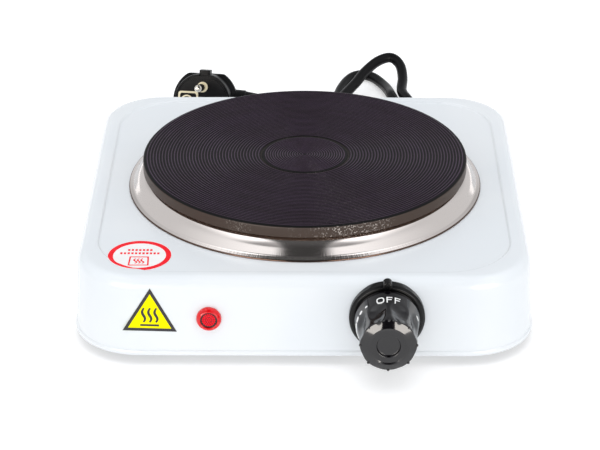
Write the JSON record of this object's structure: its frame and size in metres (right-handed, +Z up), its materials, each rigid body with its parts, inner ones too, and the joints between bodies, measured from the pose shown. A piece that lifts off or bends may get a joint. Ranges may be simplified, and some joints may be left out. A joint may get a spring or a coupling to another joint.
{
  "type": "electric hot plate",
  "caption": "Free-standing electric hot plate: white enamelled square housing, round cast iron plate in a polished trim ring, black rotary control, pilot lamp and mains lead with plug.",
  "frame": {"origin": "centre of the round cooking plate, on the table under the feet", "axes": "+Z up, -Y towards the control side with the knob, +X to the right seen from the control side"},
  "size_m": [0.2504, 0.4253, 0.067],
  "materials": {
    "enamelled_steel": "smooth cool white gloss enamel on pressed sheet steel",
    "galvanised_steel": "zinc coated sheet, dull",
    "plated_screw": "bright zinc plate",
    "foot_rubber": "matt black moulded rubber",
    "cast_iron": "turned with fine concentric grooves and painted matt black",
    "polished_stainless": "pressed and polished stainless sheet",
    "resistance_wire": "oxidised wound wire",
    "magnesia_cement": "rammed and fired",
    "steatite": "unglazed",
    "brass": "stamped",
    "aluminised_steel": "aluminised sheet",
    "bimetal": "rolled strip",
    "spring_bronze": "rolled strip",
    "black_phenolic": "glossy black compression moulding",
    "red_lens": "clear red polycarbonate with moulded prisms",
    "grey_nylon": "moulded",
    "lamp_glass": "neon lamp glass",
    "black_pvc": "soft black moulded lead and plug",
    "clamp_nylon": "moulded natural nylon",
    "brown_insulation": "extruded",
    "blue_insulation": "extruded",
    "green_yellow_insulation": "extruded, two colours",
    "white_glass_sleeve": "braided glass fibre sleeve",
    "cream_nylon": "moulded cream nylon",
    "nickel_plate": "nickel plated brass",
    "yellow_film": "printed polyester film",
    "white_film": "printed polyester film"
  },
  "bodies": {
    "root": {"body_shell": "enamelled_steel", "base_plate": "galvanised_steel", "base_screws": "plated_screw", "rubber_feet": "foot_rubber", "foot_screws": "plated_screw", "foot_nuts": "plated_screw", "hot_plate": "cast_iron", "trim_ring": "polished_stainless", "heating_coil": "resistance_wire", "plate_cement": "magnesia_cement", "plate_back_cover": "galvanised_steel", "plate_stud": "plated_screw", "clamp_bar": "galvanised_steel", "stud_washer": "plated_screw", "stud_nut": "plated_screw", "terminal_block": "steatite", "plate_terminals": "brass", "heat_shield": "aluminised_steel", "thermostat_bracket": "galvanised_steel", "thermostat_bush": "brass", "thermostat_screws": "plated_screw", "thermostat_ceramics": "steatite", "stack_rivet": "plated_screw", "bimetal_strip": "bimetal", "leaf_terminal": "brass", "fixed_contact": "brass", "knob_bezel": "black_phenolic", "lamp_lens": "red_lens", "lamp_housing": "grey_nylon", "lamp_bulb": "lamp_glass", "lamp_clip": "galvanised_steel", "strain_relief": "black_pvc", "cord_inner_end": "black_pvc", "cord_clamp": "clamp_nylon", "clamp_screws": "plated_screw", "live_wire": "brown_insulation", "neutral_wire": "blue_insulation", "earth_wire": "green_yellow_insulation", "link_wire": "white_glass_sleeve", "lamp_lead_left": "white_glass_sleeve", "lamp_lead_right": "white_glass_sleeve", "crimp_tags": "brass", "earth_screw": "plated_screw", "power_cord": "black_pvc", "plug_body": "black_pvc", "plug_insert": "cream_nylon", "plug_pins": "nickel_plate", "plug_earth_clips": "nickel_plate", "plug_earth_socket": "nickel_plate", "warning_sticker": "yellow_film", "round_sticker": "white_film"},
    "knob_body": {"knob": "black_phenolic", "knob_clip": "plated_screw", "spindle": "plated_screw"},
    "pin_body": {"push_pin": "steatite"},
    "leaf_body": {"contact_leaf": "spring_bronze"}
  },
  "joints": [
    {"name": "knob_turn", "type": "hinge", "parent": "root", "child": "knob_body", "pos_m": [0.0442, -0.14, 0.0299], "axis": [0, 1, 0], "range_deg": [0, 270]},
    {"name": "push_pin_slide", "type": "slide", "parent": "root", "child": "pin_body", "axis": [0, 1, 0], "range_m": [0, 0.00076]},
    {"name": "leaf_bend", "type": "hinge", "parent": "root", "child": "leaf_body", "pos_m": [0.0337, -0.0938, 0.0299], "axis": [0, 0, 1], "range_deg": [0, 4.1]}
  ],
  "couplings": [
    {"joint": "push_pin_slide", "follows": "knob_turn", "m_per_rad": 0.00015915},
    {"joint": "leaf_bend", "follows": "knob_turn", "ratio": 0.014881}
  ]
}
